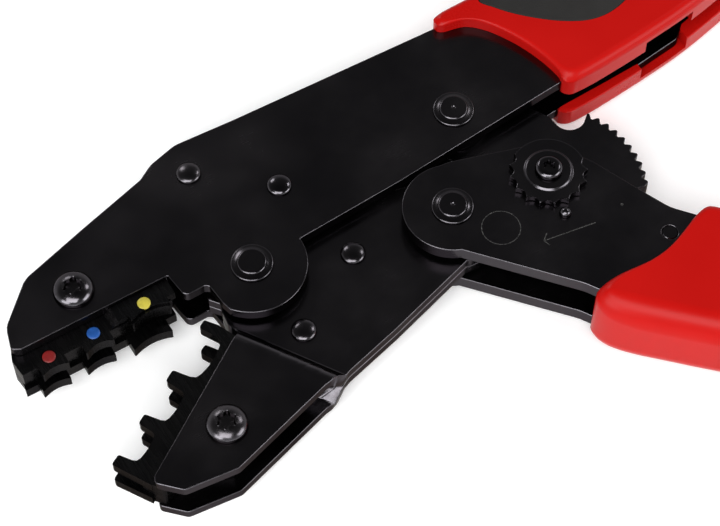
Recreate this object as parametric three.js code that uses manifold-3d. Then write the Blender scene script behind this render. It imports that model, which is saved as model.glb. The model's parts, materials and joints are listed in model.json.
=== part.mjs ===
// A ratchet crimping tool lying on its rear side with its jaws open.
// Millimetres. +X runs from the jaws to the handles, +Y from the lower handle to the upper one, +Z up.
// The origin is on the main pivot's axis, at the rear end of its pin.
import * as THREE from "three";
import { mergeVertices } from "three/addons/utils/BufferGeometryUtils.js";
import Module from "manifold-3d";

const wasm = await Module();
wasm.setup();

// ---- Driving dimensions -----------------------------------------------------------------------

const GAP = 0.15; // between pieces that lie against each other
const RUNNING_GAP = 0.1; // between a pin and its hole

// Pivots, in plan
const MAIN_PIVOT = [0, 0];
const HANDLE_PIVOT = [40, -9.4];
const LINK_ANCHOR = [52.8, 10.5];
const ADJUSTER = [60.2, -12.8];
const PAWL_PIVOT = [73.2, -36.2];

// Heights of the plates' inner and outer faces from the middle plane
const FRAME_PLATE = [3.7, 6.2];
const LEVER_PLATE = [0.05, 2.45];
const JAW_PLATE = [3.75, 6.15];
const HANDLE_PLATE = [3.8, 7.0];
const LINK_HALF = 2.0;
const DIE_HALF = 3.6;
const GRIP = [3.0, 9.2];

const PIN_RADIUS = 3.0;
const PIN_FLANGE_RADIUS = 4.2;
const PIN_BOSS_RADIUS = 2.65;
const RIVET_RADIUS = 1.6;
const SCREW_RADIUS = 1.9;
const ECCENTRIC_RADIUS = 3.9;
const ANCHOR_PIN_RADIUS = 2.4;
const LINK_ANCHOR_HOLE = 5.1; // wide, so that the link's end can float a little about its pin
const PAWL_PIN_RADIUS = 1.5;

const HUB_RADIUS = 10;
const WHEEL_HUB_RADIUS = 7.7; // of the moving handle about the adjuster
const JAW_TILT = 31.45; // how far the lower die is swung open
const GRIP_TILT = -50; // the direction of the lower handle
const TOOTH_COUNT = 10;
const TOOTH_PITCH = 6.43;
const TOOTH_TIP_RADIUS = 20.6;
const TOOTH_ROOT_RADIUS = 19.7;
const FIRST_TOOTH_ANGLE = 31.4;
const WHEEL_TIP_RADIUS = 7.9;
const WHEEL_NOTCHES = 11;

// The pin's rear end lies in the plane z = 0 of the finished part.
const PIN_END = FRAME_PLATE[1] + 1.1;

// ---- Plan outlines ----------------------------------------------------------------------------

const radians = THREE.MathUtils.degToRad;

// Points along an arc, from one angle to the other in degrees, both ends included.
function arc([cx, cy], radius, from, to, steps = 8) {
  return Array.from({ length: steps + 1 }, (_, i) => {
    const a = radians(from + ((to - from) * i) / steps);
    return [cx + radius * Math.cos(a), cy + radius * Math.sin(a)];
  });
}

function circle(centre, radius, steps = 24) {
  return arc(centre, radius, 0, 360 - 360 / steps, steps - 1);
}

// Turns points about the origin and then moves them.
function placed(points, degrees, [dx, dy] = [0, 0]) {
  const [c, s] = [Math.cos(radians(degrees)), Math.sin(radians(degrees))];
  return points.map(([x, y]) => [dx + c * x - s * y, dy + s * x + c * y]);
}

// The outline moved outwards by a margin, or inwards by a negative one.
function grown(points, margin) {
  const sign = THREE.ShapeUtils.isClockWise(points.map(([x, y]) => new THREE.Vector2(x, y))) ? -1 : 1;
  const normal = (a, b) => {
    const [dx, dy] = [b[0] - a[0], b[1] - a[1]];
    const length = Math.hypot(dx, dy);
    return [(sign * dy) / length, (-sign * dx) / length];
  };
  return points.map((p, i) => {
    const before = normal(points.at(i - 1), p);
    const after = normal(p, points[(i + 1) % points.length]);
    const mitre = Math.max(0.3, 1 + before[0] * after[0] + before[1] * after[1]);
    return [0, 1].map((k) => p[k] + (margin * (before[k] + after[k])) / mitre);
  });
}

// Rounds each corner that gives a radius as its third number.
function rounded(points, steps = 2) {
  return points.flatMap(([x, y, radius], i) => {
    if (!radius) return [[x, y]];
    const corner = new THREE.Vector2(x, y);
    const [before, after] = [points.at(i - 1), points[(i + 1) % points.length]].map(([px, py]) =>
      new THREE.Vector2(px, py).sub(corner),
    );
    const half = Math.abs(before.angleTo(after)) / 2;
    const reach = Math.min(radius / Math.tan(half), 0.48 * before.length(), 0.48 * after.length());
    const start = before.setLength(reach).add(corner);
    const end = after.setLength(reach).add(corner);
    return Array.from({ length: steps + 1 }, (_, k) => {
      const t = k / steps;
      return ["x", "y"].map(
        (axis) => (1 - t) ** 2 * start[axis] + 2 * t * (1 - t) * corner[axis] + t ** 2 * end[axis],
      );
    });
  });
}

const FRAME_OUTLINE = [
  ...arc(MAIN_PIVOT, 10.9, 1, -144, 14),
  [-9.1, -4.6], [-9.5, -0.1], [-10.4, 0.4], [-14.0, 0.3], [-14.6, 0.9], [-15.3, 6.1],
  [-46.8, 6.1], [-48.5, 7.0], [-47.1, 11.9], [-39.9, 19.0], [-38.6, 19.8], [-24.6, 24.0],
  [-9.5, 28.3], [-6.1, 30.4], [0.2, 32.1], [13.8, 31.4], [61.1, 30.0],
  [76, 28.5], [100, 28.5], [140, 31], [158, 31], [164, 27], [157, 20.5],
  [145, 17.2], [122, 12.6], [110, 9.6], [107.5, 7.3], [96.5, 5.9], [88, 5.5], [74.2, 5.0],
  [34.6, 1.5],
];

const LEVER_OUTLINE = [
  [-10.1, -11.7], [-37.6, -30.1], [-38.2, -31.5], [-34.2, -35.5], [-23.4, -36.7],
  [-1.2, -30.1], [1.1, -29.9], [5.2, -28.2], [17.5, -25.0],
  ...arc(HANDLE_PIVOT, HUB_RADIUS, -105, 77, 14),
  ...arc(MAIN_PIVOT, HUB_RADIUS, 77, 176, 8),
  [-10.4, -0.7], [-8.7, -2.9], [-9.4, -4.6], [-9.6, -11.2],
];

const HANDLE_OUTLINE = [
  ...arc(HANDLE_PIVOT, HUB_RADIUS, -110, -286, 14),
  [45.2, -0.1],
  ...arc(ADJUSTER, WHEEL_HUB_RADIUS, 72, 10, 6),
  [69.8, -15.0], [73.7, -24.6], [76.6, -31.4],
  ...placed(
    [[31.5, 0.6], [60, 0.2], [100, 0.8], [111, -1], [115, -9], [111, -17], [100, -19.5],
      [60, -19], [32, -21], [17.2, -22.1], [13.9, -21.6]],
    GRIP_TILT,
    ADJUSTER,
  ),
];

const LOWER_GRIP_OUTLINE = placed(
  [
    [32.6, 2.7], [31.2, 1.4], [30.1, -1.0], [28.8, -5.2], [27.1, -9.7], [24.4, -13.7],
    [20.2, -17.8], [17.8, -20.6], [16.4, -22.9], [16.6, -24.9], [19, -26.4], [23, -26.9],
    [35, -26.0], [60, -23.6], [88, -23.9], [108, -25.2], [117, -22], [120.5, -14], [120, -5],
    [115, 2], [105, 4.2], [85, 3.6], [60, 2.6],
  ],
  GRIP_TILT,
  ADJUSTER,
);

const UPPER_GRIP_OUTLINE = [
  [60.4, 30.8], [60.2, 28.9], [61.0, 28.0], [65.9, 26.9], [68.9, 24.2], [71.4, 20.2],
  [73.3, 15.9], [74.7, 10.8], [75.4, 6.0], [75.2, 4.4], [76.2, 3.0], [80, 2.8], [87, 3.2],
  [97.5, 4.2], [108, 5.6], [122, 8.6], [145, 14.3], [158, 18], [166, 22], [169.5, 28],
  [167, 34.5], [158, 37.8], [130, 36.5], [95, 33.4], [70, 32.2],
];

const INLAY_OUTLINE = [
  [70.8, 29.8], [72.6, 26.4], [75.6, 22.6], [79.6, 18.6], [83.4, 15.7], [87.4, 13.6],
  [91, 12.9], [94.5, 13.2], [99, 14.5], [110, 17.2], [130, 21.2], [150, 25.0], [157, 28.5],
  [150, 32.2], [130, 33.0], [100, 30.6],
];

// The toothed link: a toothed arc about the adjuster's pin, and an arm to its anchor on the frame.
function linkOutline() {
  const teeth = [];
  for (let i = 0; i < TOOTH_COUNT; i++) {
    const angle = FIRST_TOOTH_ANGLE - i * TOOTH_PITCH;
    if (i > 0) teeth.push(...arc(ADJUSTER, TOOTH_ROOT_RADIUS, angle + 3.6, angle + 2.8, 1));
    teeth.push(...arc(ADJUSTER, TOOTH_TIP_RADIUS, angle + 0.7, angle - 0.7, 1));
  }
  return [
    ...arc(LINK_ANCHOR, 8, 205, 20, 12),
    [68.0, 5.5], [70.4, 1.5],
    ...arc([73.9, -0.6], 3.3, 190, 315, 7),
    ...teeth,
    [77.6, -22.5], [75.3, -22.1],
    ...arc(ADJUSTER, 8, -75, -200, 8),
  ];
}

const PAWL_TIP = arc(ADJUSTER, TOOTH_TIP_RADIUS + 0.5, -41, -41, 1)[0];
const PAWL_OUTLINE = [
  ...arc(PAWL_PIVOT, 3.6, 150, 390, 12),
  [PAWL_TIP[0] + 0.9, PAWL_TIP[1] + 0.2],
  [PAWL_TIP[0] - 0.3, PAWL_TIP[1] - 0.3],
];

// The star wheel: scallops most of the way round, and one plain arc over the upper right.
function wheelOutline() {
  const [firstTip, lastTip] = [117, 353];
  const pitch = (lastTip - firstTip) / WHEEL_NOTCHES;
  const scallops = [];
  for (let i = 0; i < WHEEL_NOTCHES; i++) {
    for (const [turn, depth] of [[0.1, 0], [0.28, 0.6], [0.5, 0.85], [0.72, 0.6], [0.9, 0]]) {
      scallops.push(arc(ADJUSTER, WHEEL_TIP_RADIUS - depth, firstTip + pitch * (i + turn), 0, 1)[0]);
    }
  }
  return [...scallops, ...arc(ADJUSTER, WHEEL_TIP_RADIUS - 0.3, -5, 115, 10)];
}

// Six rounded lobes, as the socket of a star-drive screw.
function starSocket(centre, radius) {
  return Array.from({ length: 24 }, (_, i) => {
    const a = (i / 24) * 2 * Math.PI;
    const r = radius * (1 + 0.16 * Math.cos(6 * a));
    return [centre[0] + r * Math.cos(a), centre[1] + r * Math.sin(a)];
  });
}

// ---- Solids -----------------------------------------------------------------------------------

function solidOf(geometry) {
  const bare = geometry.index ? geometry : geometry.clone();
  bare.deleteAttribute("normal");
  bare.deleteAttribute("uv");
  const merged = mergeVertices(bare, 1e-4);
  return new wasm.Manifold(
    new wasm.Mesh({
      numProp: 3,
      vertProperties: merged.attributes.position.array,
      triVerts: new Uint32Array(merged.index.array),
    }),
  );
}

function geometryOf(solid) {
  const mesh = solid.getMesh();
  const geometry = new THREE.BufferGeometry();
  geometry.setAttribute("position", new THREE.BufferAttribute(mesh.vertProperties, 3));
  geometry.setIndex(new THREE.BufferAttribute(mesh.triVerts, 1));
  return geometry;
}

function shapeOf(points) {
  return new THREE.Shape(points.map(([x, y]) => new THREE.Vector2(x, y)));
}

// An outline with a thickness, its edges chamfered by bevel.
function prism(points, [bottom, top], holes = [], bevel = 0) {
  const shape = shapeOf(points);
  shape.holes.push(...holes.map(shapeOf));
  const geometry = new THREE.ExtrudeGeometry(shape, {
    depth: top - bottom - 2 * bevel,
    bevelEnabled: bevel > 0,
    bevelThickness: bevel,
    bevelSize: bevel,
    bevelOffset: -bevel,
    bevelSegments: 2,
  });
  return solidOf(geometry.translate(0, 0, bottom + bevel));
}

// A round piece on an upright axis, from (radius, height) points given upwards.
function turned([x, y], profile, segments = 24) {
  const points = profile.map(([r, z]) => new THREE.Vector2(r, z));
  const geometry = new THREE.LatheGeometry(points, segments);
  return solidOf(geometry.rotateX(Math.PI / 2).translate(x, y, 0));
}

// The heights of a plate on the front (+1) or the rear (-1) side of the middle plane.
function layer([inner, outer], side) {
  return side > 0 ? [inner, outer] : [-outer, -inner];
}

const SIDES = [["front", 1], ["rear", -1]];

const blackSteel = new THREE.MeshStandardMaterial({ color: 0x0c0c0e, roughness: 0.3, metalness: 0.8 });
const dieSteel = new THREE.MeshStandardMaterial({ color: 0x101012, roughness: 0.35, metalness: 0.8 });
const redPlastic = new THREE.MeshStandardMaterial({ color: 0xd01410, roughness: 0.3, metalness: 0 });
const softPlastic = new THREE.MeshStandardMaterial({ color: 0x2a2927, roughness: 0.7, metalness: 0 });
const dotPaint = {
  red: new THREE.MeshStandardMaterial({ color: 0xb01818, roughness: 0.5, metalness: 0 }),
  blue: new THREE.MeshStandardMaterial({ color: 0x1c4fb4, roughness: 0.5, metalness: 0 }),
  yellow: new THREE.MeshStandardMaterial({ color: 0xd8c020, roughness: 0.5, metalness: 0 }),
};

const tool = new THREE.Group();
tool.position.z = PIN_END;

function add(name, solid, material) {
  const mesh = new THREE.Mesh(geometryOf(solid), material);
  mesh.name = name;
  tool.add(mesh);
}

// A riveted pin: a shaft with a flange and a smaller raised boss outside each outer plate.
function rivetedPin(centre, shaft, plateFace) {
  const flange = plateFace + GAP;
  const end = plateFace + 1.1;
  return turned(centre, [
    [0, -end], [PIN_BOSS_RADIUS, -end], [PIN_BOSS_RADIUS + 0.3, -end + 0.3],
    [PIN_FLANGE_RADIUS - 0.3, -end + 0.45], [PIN_FLANGE_RADIUS, -flange - 0.1],
    [PIN_FLANGE_RADIUS, -flange], [shaft, -flange],
    [shaft, flange], [PIN_FLANGE_RADIUS, flange], [PIN_FLANGE_RADIUS, flange + 0.1],
    [PIN_FLANGE_RADIUS - 0.3, end - 0.45], [PIN_BOSS_RADIUS + 0.3, end - 0.3],
    [PIN_BOSS_RADIUS, end], [0, end],
  ]);
}

// A rivet with a low dome at each end.
function domedRivet(centre, plateFace) {
  const seat = plateFace + GAP;
  const head = [[2.5, 0], [2.3, 0.45], [1.6, 0.85], [0, 1.05]];
  return turned(centre, [
    ...head.map(([r, z]) => [r, -seat - z]).reverse(),
    [RIVET_RADIUS, -seat], [RIVET_RADIUS, seat],
    ...head.map(([r, z]) => [r, seat + z]),
  ], 20);
}

function washer(centre, [inner, outer], [bottom, top], segments = 24) {
  return prism(circle(centre, outer, segments), [bottom, top], [circle(centre, inner, segments)]);
}

// Washers that fill the space between two layers, one on each side of the middle plane.
function addWashers(name, centre, radii, heights) {
  for (const [label, side] of SIDES) {
    add(`${name}_${label}`, washer(centre, radii, layer(heights, side)), blackSteel);
  }
}

// A pan-headed star-drive screw through a jaw, with a round nut behind it.
function addDieScrew(name, centre, plateFace) {
  const seat = plateFace + GAP;
  const headTop = seat + 2.2;
  const screw = turned(centre, [
    [0, -seat - 1.6], [SCREW_RADIUS, -seat - 1.6], [SCREW_RADIUS, seat], [4.0, seat],
    [4.0, seat + 0.9], [3.6, seat + 1.6], [2.7, headTop], [0, headTop],
  ]).subtract(prism(starSocket(centre, 1.7), [headTop - 1.5, headTop + 1]));
  add(`${name}_screw`, screw, blackSteel);
  const nutHeights = [-seat - 1.5, -seat];
  add(`${name}_nut`, washer(centre, [SCREW_RADIUS + RUNNING_GAP, 3.8], nutHeights), blackSteel);
}

// ---- Fixed side -------------------------------------------------------------------------------

const FRAME_RIVETS = { upper: [-0.6, 24.6], lower: [13.5, 12.9] };
const UPPER_DIE_SCREW = [-32.4, 12.4];

for (const [label, side] of SIDES) {
  const holes = [
    circle(MAIN_PIVOT, PIN_RADIUS + RUNNING_GAP),
    circle(LINK_ANCHOR, ANCHOR_PIN_RADIUS + RUNNING_GAP),
    circle(UPPER_DIE_SCREW, SCREW_RADIUS + RUNNING_GAP),
    ...Object.values(FRAME_RIVETS).map((centre) => circle(centre, RIVET_RADIUS + RUNNING_GAP)),
  ];
  add(`frame_plate_${label}`, prism(FRAME_OUTLINE, layer(FRAME_PLATE, side), holes), blackSteel);
}

const BETWEEN_FRAME = FRAME_PLATE[0] - 0.1;
for (const [label, centre] of Object.entries(FRAME_RIVETS)) {
  add(`frame_rivet_${label}`, domedRivet(centre, FRAME_PLATE[1]), blackSteel);
  const sleeve = washer(centre, [RIVET_RADIUS + RUNNING_GAP, 3.6], [-BETWEEN_FRAME, BETWEEN_FRAME]);
  add(`frame_spacer_${label}`, sleeve, blackSteel);
}

add("main_pivot_pin", rivetedPin(MAIN_PIVOT, PIN_RADIUS, FRAME_PLATE[1]), blackSteel);
add("link_anchor_pin", rivetedPin(LINK_ANCHOR, ANCHOR_PIN_RADIUS, FRAME_PLATE[1]), blackSteel);
addWashers(
  "main_washer", MAIN_PIVOT, [PIN_RADIUS + RUNNING_GAP, 8],
  [LEVER_PLATE[1] + 0.1, BETWEEN_FRAME],
);
addWashers(
  "link_washer", LINK_ANCHOR, [ANCHOR_PIN_RADIUS + RUNNING_GAP, 7.2],
  [LINK_HALF + GAP, BETWEEN_FRAME],
);

// Each indenter of the upper die: left and right sides, the height of its tips and of the hollow
// between them.
const INDENTERS = {
  front: [
    { left: -45.4, right: -39.9, tip: 0.3, hollow: 0.85 },
    { left: -36.2, right: -30.2, tip: 0.3, hollow: 1.1 },
    { left: -25.8, right: -17.5, tip: 1.0, hollow: 1.95 },
  ],
  rear: [
    { left: -46.3, right: -40.4, tip: -0.35, hollow: 0.2 },
    { left: -36.9, right: -30.7, tip: -0.3, hollow: 0.25 },
    { left: -27.2, right: -18.8, tip: -1.3, hollow: -0.5 },
  ],
};
const SHOULDER = { front: 2.3, rear: 1.5 };
const INDENTER_LAYER = [1.0, DIE_HALF];

// The block with the largest indenter stands proud at the front, up to the edge of the plate.
const PROUD_FACE = 5.2;
const PROUD_BLOCK = { left: -28.1, right: -15.7, bottom: 2.5, top: 6.0 };
const PROUD_RAMP = 1.4;

function indenterOutline({ left, right, tip, hollow }, top) {
  const middle = (left + right) / 2;
  const reach = (right - left) / 2 - 0.3;
  const saddle = [1, 0.75, 0.5, 0.25, 0, -0.25, -0.5, -0.75, -1].map((t) => [
    middle + reach * t,
    hollow - (hollow - tip) * t * t,
  ]);
  return [[left, top], [right, top], [right, tip], ...saddle, [left, tip]];
}

function proudBlock() {
  const { left, right, bottom, top } = PROUD_BLOCK;
  const base = DIE_HALF - 0.5;
  const flareDepth = 0.9;
  const flare = 0.4;
  const ramp = shapeOf([
    [left - PROUD_RAMP, DIE_HALF - 0.1], [left + 0.3, DIE_HALF - 0.1],
    [left + 0.3, PROUD_FACE], [left, PROUD_FACE],
  ]);
  const wedge = new THREE.ExtrudeGeometry(ramp, { depth: top - bottom, bevelEnabled: false });
  const largest = INDENTERS.front[2];
  const flared = { ...largest, tip: largest.tip + flare, hollow: largest.hollow + flare };
  const face = [[left, bottom], [right, bottom], [right, top], [left, top]];
  return prism(face, [base, PROUD_FACE])
    .add(solidOf(wedge.rotateX(Math.PI / 2).translate(0, top, 0)))
    .add(prism(indenterOutline(largest, bottom + 1), [base, PROUD_FACE - flareDepth]))
    .add(prism(indenterOutline(flared, bottom + 1), [base, PROUD_FACE]));
}

function upperDie() {
  const block = [
    [-48.7, SHOULDER.front], [-16.8, SHOULDER.front], [-16.4, 5.5], [-16.4, 18.0], [-39.5, 18.0],
    [-46.4, 11.4], [-48.2, 8.4], [-49.1, 6.0],
  ];
  let die = prism(block, [-DIE_HALF, DIE_HALF]).add(proudBlock());
  const lip = [[-49.1, SHOULDER.rear], [-16.5, SHOULDER.rear], [-16.5, 4], [-48.7, 4]];
  die = die.add(prism(lip, [-DIE_HALF, -INDENTER_LAYER[0]]));
  for (const [label, side] of SIDES) {
    for (const indenter of INDENTERS[label]) {
      const outline = indenterOutline(indenter, SHOULDER[label] + 1);
      die = die.add(prism(outline, layer(INDENTER_LAYER, side)));
    }
  }
  return die.subtract(prism(circle(UPPER_DIE_SCREW, SCREW_RADIUS + RUNNING_GAP), [-5, 5]));
}

const DOT_RADIUS = 1.3;
const DOTS = {
  red: { centre: [-42.6, 3.4], face: DIE_HALF },
  blue: { centre: [-33.0, 3.6], face: DIE_HALF },
  yellow: { centre: [-21.9, 3.6], face: PROUD_FACE },
};
let upperDieSolid = upperDie();
for (const [colour, { centre, face }] of Object.entries(DOTS)) {
  upperDieSolid = upperDieSolid.subtract(
    prism(circle(centre, DOT_RADIUS + GAP, 16), [face - 0.5, face + 1]),
  );
  const dot = prism(circle(centre, DOT_RADIUS, 16), [face - 0.4, face + 0.1]);
  add(`size_dot_${colour}`, dot, dotPaint[colour]);
}
add("upper_die", upperDieSolid, dieSteel);
addDieScrew("upper_die", UPPER_DIE_SCREW, FRAME_PLATE[1]);

const WINDOW = [[96, 0], [109, 0], [109, 10.4], [96, 7.4]];
for (const [label, side] of SIDES) {
  const pocket = prism(grown(FRAME_OUTLINE, 0.25), layer([0, FRAME_PLATE[1] + 0.25], side));
  const recess = prism(grown(INLAY_OUTLINE, 0.2), layer([GRIP[1] - 1, GRIP[1] + 1], side));
  const window = prism(WINDOW, layer([0, FRAME_PLATE[1] + 0.25], side));
  const grip = prism(UPPER_GRIP_OUTLINE, layer(GRIP, side), [], 0.8)
    .subtract(pocket)
    .subtract(recess)
    .subtract(window);
  add(`upper_grip_${label}`, grip, redPlastic);
  const inlay = prism(INLAY_OUTLINE, layer([GRIP[1] - 0.85, GRIP[1] - 0.05], side));
  add(`grip_inlay_${label}`, inlay, softPlastic);
}

// ---- Moving jaw -------------------------------------------------------------------------------

const LEVER_RIVETS = { upper: [19.1, -6.2], lower: [2.1, -16.2] };
const LOWER_DIE_SCREW = [-21.1, -27.9];

// The bend between the flat hub and the raised jaw lies square to this direction from the pivot.
const BEND_DIRECTION = 213.5;
const BEND_START = 12.6;
const BEND_END = 14.9;

// The side view of a plate: low at the hub, raised at the jaw, of one thickness through the bend.
function joggle(side) {
  const thickness = LEVER_PLATE[1] - LEVER_PLATE[0];
  const slope = Math.atan2(JAW_PLATE[1] - LEVER_PLATE[1], BEND_END - BEND_START);
  const shift = thickness * Math.tan(slope / 2);
  const profile = [
    [-60, LEVER_PLATE[0]], [BEND_START + shift, LEVER_PLATE[0]],
    [BEND_END + shift, JAW_PLATE[0]], [60, JAW_PLATE[0]], [60, JAW_PLATE[1]],
    [BEND_END, JAW_PLATE[1]], [BEND_START, LEVER_PLATE[1]], [-60, LEVER_PLATE[1]],
  ];
  const geometry = new THREE.ExtrudeGeometry(shapeOf(profile.map(([x, z]) => [x, side * z])), {
    depth: 120,
    bevelEnabled: false,
  });
  geometry.translate(0, 0, -60).rotateX(Math.PI / 2).rotateZ(radians(BEND_DIRECTION));
  return solidOf(geometry);
}

for (const [label, side] of SIDES) {
  const holes = [
    circle(MAIN_PIVOT, PIN_RADIUS + RUNNING_GAP),
    circle(HANDLE_PIVOT, PIN_RADIUS + RUNNING_GAP),
    circle(LOWER_DIE_SCREW, SCREW_RADIUS + RUNNING_GAP),
    ...Object.values(LEVER_RIVETS).map((centre) => circle(centre, RIVET_RADIUS + RUNNING_GAP)),
  ];
  const plate = prism(LEVER_OUTLINE, layer([0, JAW_PLATE[1] + 1], side), holes);
  add(`lever_plate_${label}`, plate.intersect(joggle(side)), blackSteel);
}
for (const [label, centre] of Object.entries(LEVER_RIVETS)) {
  add(`lever_rivet_${label}`, domedRivet(centre, LEVER_PLATE[1]), blackSteel);
}

// The lower die lies level here, as it does when the jaws close, and is swung open afterwards.
// Its horns and the cradles between them stand in two layers, with a slot between the layers.
const LOWER_DIE_LAYER = [1.1, DIE_HALF];
const SLOT_FLOOR = -3.6;
const LOWER_DIE_BODY = rounded([
  [-14.2, SLOT_FLOOR], [-14.6, -4.2], [-17.0, -4.0], [-17.6, -16.5], [-37.5, -16.5],
  [-40.0, -13.5], [-45.5, -9.0, 2], [-48.3, -8.2, 0.8], [-48.6, -5.8], [-48.6, SLOT_FLOOR],
]);
const LOWER_DIE_COMB = {
  front: [
    [-14.2, -4.1], [-13.7, 0], [-14.0, 2.9, 0.4], [-15.9, 2.9, 0.5], [-16.1, -2.3, 1.2],
    [-20.8, -3.1, 9], [-25.8, -2.2, 1.8], [-26.2, 2.8, 0.5], [-28.8, 2.8, 0.6],
    [-29.4, -1.8, 0.9], [-33.0, -2.1, 9], [-36.3, -1.6, 1.3], [-36.7, 2.8, 0.5],
    [-38.9, 2.8, 0.6], [-39.3, -1.1, 0.9], [-42.6, -1.5, 9], [-45.9, -1.1, 1.3],
    [-46.2, 2.8, 0.4], [-48.5, 2.9, 0.5], [-48.7, -5.8], [-46.0, -5.8], [-46.0, -5.0],
    [-17.0, -5.0],
  ],
  rear: [
    [-14.2, -4.1], [-14.0, -3.2], [-16.2, -3.2, 0.6], [-16.5, 1.6, 0.5], [-18.4, 1.6, 0.5],
    [-18.7, -2.6, 1], [-23.0, -3.1, 9], [-27.6, -2.4, 1.3], [-27.9, 2.1, 0.5],
    [-29.9, 2.1, 0.5], [-30.2, -1.9, 0.9], [-33.6, -2.3, 9], [-37.1, -1.9, 1.3],
    [-37.5, 2.4, 0.5], [-39.6, 2.4, 0.5], [-39.8, -1.3, 0.9], [-43.2, -1.7, 9],
    [-46.7, -1.3, 1.3], [-46.9, 2.5, 0.5], [-49.3, 2.5, 0.5], [-49.2, -5.8],
    [-46.0, -5.8], [-46.0, -5.0], [-17.0, -5.0],
  ],
};

function lowerDie() {
  let die = prism(LOWER_DIE_BODY, [-DIE_HALF, DIE_HALF]);
  for (const [label, side] of SIDES) {
    die = die.add(prism(rounded(LOWER_DIE_COMB[label]), layer(LOWER_DIE_LAYER, side)));
  }
  return die.rotate([0, 0, JAW_TILT]);
}

const lowerDieHole = prism(circle(LOWER_DIE_SCREW, SCREW_RADIUS + RUNNING_GAP), [-5, 5]);
add("lower_die", lowerDie().subtract(lowerDieHole), dieSteel);
addDieScrew("lower_die", LOWER_DIE_SCREW, JAW_PLATE[1]);

// ---- Moving handle ----------------------------------------------------------------------------

const LOCK_PIN = arc(ADJUSTER, 9.6, -103, -103, 1)[0];
const LOCK_PIN_RADIUS = 1.15;
const LOCK_SHANK_RADIUS = 0.9;

for (const [label, side] of SIDES) {
  const holes = [
    circle(HANDLE_PIVOT, PIN_RADIUS + RUNNING_GAP),
    circle(ADJUSTER, ECCENTRIC_RADIUS + RUNNING_GAP),
    circle(PAWL_PIVOT, PAWL_PIN_RADIUS + RUNNING_GAP, 16),
  ];
  if (side > 0) holes.push(circle(LOCK_PIN, LOCK_SHANK_RADIUS + RUNNING_GAP, 12));
  add(`handle_plate_${label}`, prism(HANDLE_OUTLINE, layer(HANDLE_PLATE, side), holes), blackSteel);
}

add("handle_pivot_pin", rivetedPin(HANDLE_PIVOT, PIN_RADIUS, HANDLE_PLATE[1]), blackSteel);
const BETWEEN_HANDLE = HANDLE_PLATE[0] - 0.1;
addWashers(
  "handle_washer", HANDLE_PIVOT, [PIN_RADIUS + RUNNING_GAP, 7.5],
  [LEVER_PLATE[1] + 0.1, BETWEEN_HANDLE],
);
addWashers(
  "adjuster_washer", ADJUSTER, [ECCENTRIC_RADIUS + RUNNING_GAP, 6.8],
  [LINK_HALF + GAP, BETWEEN_HANDLE],
);

add(
  "lock_pin",
  turned(LOCK_PIN, [
    [0, HANDLE_PLATE[0] + 0.3], [LOCK_SHANK_RADIUS, HANDLE_PLATE[0] + 0.3],
    [LOCK_SHANK_RADIUS, HANDLE_PLATE[1] + 0.1], [LOCK_PIN_RADIUS, HANDLE_PLATE[1] + 0.1],
    [LOCK_PIN_RADIUS, HANDLE_PLATE[1] + 0.9], [0.8, HANDLE_PLATE[1] + 1.3],
    [0, HANDLE_PLATE[1] + 1.5],
  ], 12),
  blackSteel,
);
add(
  "pawl_pin",
  turned(PAWL_PIVOT, [
    [0, -HANDLE_PLATE[1]], [PAWL_PIN_RADIUS, -HANDLE_PLATE[1]],
    [PAWL_PIN_RADIUS, HANDLE_PLATE[1]], [0, HANDLE_PLATE[1]],
  ], 16),
  blackSteel,
);
add("pawl_spring", washer(PAWL_PIVOT, [1.8, 3.0], [LINK_HALF + GAP, BETWEEN_HANDLE], 16), blackSteel);

function lowerGrip() {
  const pocket = grown(HANDLE_OUTLINE, 0.25);
  const relief = placed([[0, -16], [36, -16], [36, 6], [0, 6]], GRIP_TILT, ADJUSTER);
  let grip = prism(LOWER_GRIP_OUTLINE, [-GRIP[1], GRIP[1]], [], 1.2);
  for (const [, side] of SIDES) {
    const heights = [HANDLE_PLATE[0] - 0.25, HANDLE_PLATE[1] + 0.25];
    grip = grip.subtract(prism(pocket, layer(heights, side)));
  }
  return grip.subtract(prism(relief, [-HANDLE_PLATE[0], HANDLE_PLATE[0]]));
}
add("lower_grip", lowerGrip(), redPlastic);

// ---- Ratchet and adjuster ---------------------------------------------------------------------

add(
  "toothed_link",
  prism(linkOutline(), [-LINK_HALF, LINK_HALF], [
    circle(ADJUSTER, ECCENTRIC_RADIUS + RUNNING_GAP),
    circle(LINK_ANCHOR, LINK_ANCHOR_HOLE),
  ]),
  blackSteel,
);

const pawlHole = circle(PAWL_PIVOT, PAWL_PIN_RADIUS + RUNNING_GAP, 16);
add("pawl", prism(PAWL_OUTLINE, [-LINK_HALF + 0.1, LINK_HALF - 0.1], [pawlHole]), blackSteel);

const WHEEL_SEAT = HANDLE_PLATE[1] + GAP;
const WHEEL_TOP = WHEEL_SEAT + 1.4;
const SCREW_SHANK_RADIUS = 1.4;
const screwHole = circle(ADJUSTER, SCREW_SHANK_RADIUS + RUNNING_GAP, 16);
add(
  "star_wheel",
  prism(wheelOutline(), [WHEEL_SEAT, WHEEL_TOP], [screwHole])
    .add(prism(circle(ADJUSTER, 4.6), [WHEEL_TOP - 0.2, WHEEL_TOP + 0.4], [screwHole])),
  blackSteel,
);
add(
  "eccentric_pin",
  turned(ADJUSTER, [
    [0, -WHEEL_SEAT - 1.2], [4.9, -WHEEL_SEAT - 1.2], [5.2, -WHEEL_SEAT - 0.8],
    [5.2, -WHEEL_SEAT], [ECCENTRIC_RADIUS, -WHEEL_SEAT], [ECCENTRIC_RADIUS, HANDLE_PLATE[1]],
    [SCREW_SHANK_RADIUS + RUNNING_GAP, HANDLE_PLATE[1]],
    [SCREW_SHANK_RADIUS + RUNNING_GAP, 1], [0, 1],
  ]),
  blackSteel,
);
const SCREW_SEAT = WHEEL_TOP + 0.4 + GAP;
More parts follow.
